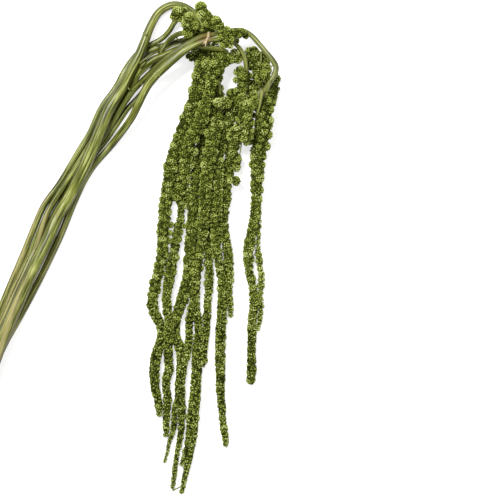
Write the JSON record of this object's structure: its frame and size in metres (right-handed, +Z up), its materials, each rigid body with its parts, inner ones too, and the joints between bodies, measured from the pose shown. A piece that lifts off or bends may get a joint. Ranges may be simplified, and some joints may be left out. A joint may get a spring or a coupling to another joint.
{
  "type": "amaranth seed head",
  "caption": "Cut bunch of green hanging amaranth that lies flat: smooth stems arch over into long knobbly tassels, tied with raffia.",
  "frame": {"origin": "on the table under the tie, on the flat where the thickest stem rests", "axes": "+Z up from the table, +Y from the tassels' tips towards the top of the bunch, +X away from the cut ends"},
  "size_m": [0.3273, 0.4924, 0.0402],
  "materials": {
    "stem": "smooth, slightly waxy yellow-green plant stem",
    "tassel": "rough, densely packed green florets",
    "raffia": "dull beige raffia fibre"
  },
  "bodies": {
    "root": {"head_1": "tassel", "head_2": "tassel", "head_3": "tassel", "head_4": "tassel", "head_5": "tassel", "head_6": "tassel", "head_7": "tassel", "stem_1": "stem", "stem_2": "stem", "stem_3": "stem", "stem_4": "stem", "stem_5": "stem", "stem_6": "stem", "stem_7": "stem", "tie": "raffia"}
  },
  "joints": []
}
